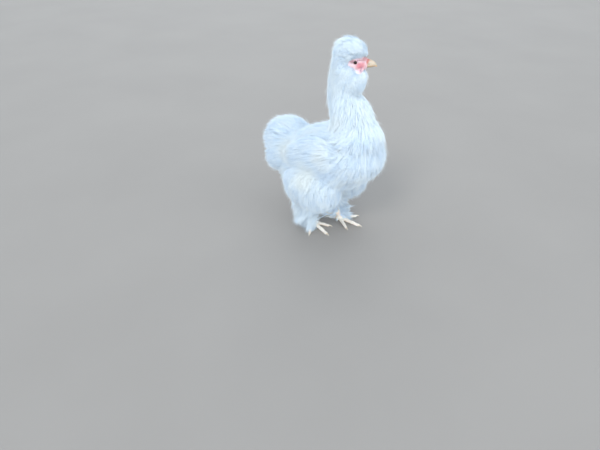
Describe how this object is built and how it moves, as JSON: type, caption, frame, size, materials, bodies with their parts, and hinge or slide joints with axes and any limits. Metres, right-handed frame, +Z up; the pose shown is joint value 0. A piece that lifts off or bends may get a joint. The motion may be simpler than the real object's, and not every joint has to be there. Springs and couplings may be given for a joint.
{
  "type": "silkie chicken",
  "caption": "Standing silkie hen with a puff crest, beard, hackled neck, cushion tail, feathered thighs and shanks, and bare toes; a life-size still model.",
  "frame": {"origin": "on the floor, under the middle of the bird's box", "axes": "+Z up, +X the way the body faces, +Y to the bird's left"},
  "size_m": [0.2498, 0.179, 0.3618],
  "materials": {
    "plumage": "soft, matt bluish-white silky plumage",
    "skin": "bare pink face skin, slightly moist",
    "horn": "pale ivory horn, satin",
    "leg": "pale cream scaled skin, matt",
    "eye": "dark brown, wet and glossy"
  },
  "bodies": {
    "root": {"head": "skin", "comb": "skin", "wattle_right": "skin", "wattle_left": "skin", "ear_lobe_right": "skin", "ear_lobe_left": "skin", "beak_upper": "horn", "beak_lower": "horn", "eye_right": "eye", "eye_left": "eye", "crest": "plumage", "beard": "plumage", "neck": "plumage", "torso": "plumage", "wing_right": "plumage", "wing_left": "plumage", "tail": "plumage", "thigh_right": "plumage", "thigh_left": "plumage", "shank_right": "plumage", "shank_left": "plumage", "foot_right": "leg", "foot_left": "leg", "claw_right_1": "horn", "claw_right_2": "horn", "claw_right_3": "horn", "claw_right_4": "horn", "claw_right_5": "horn", "claw_left_1": "horn", "claw_left_2": "horn", "claw_left_3": "horn", "claw_left_4": "horn", "claw_left_5": "horn"}
  },
  "joints": []
}
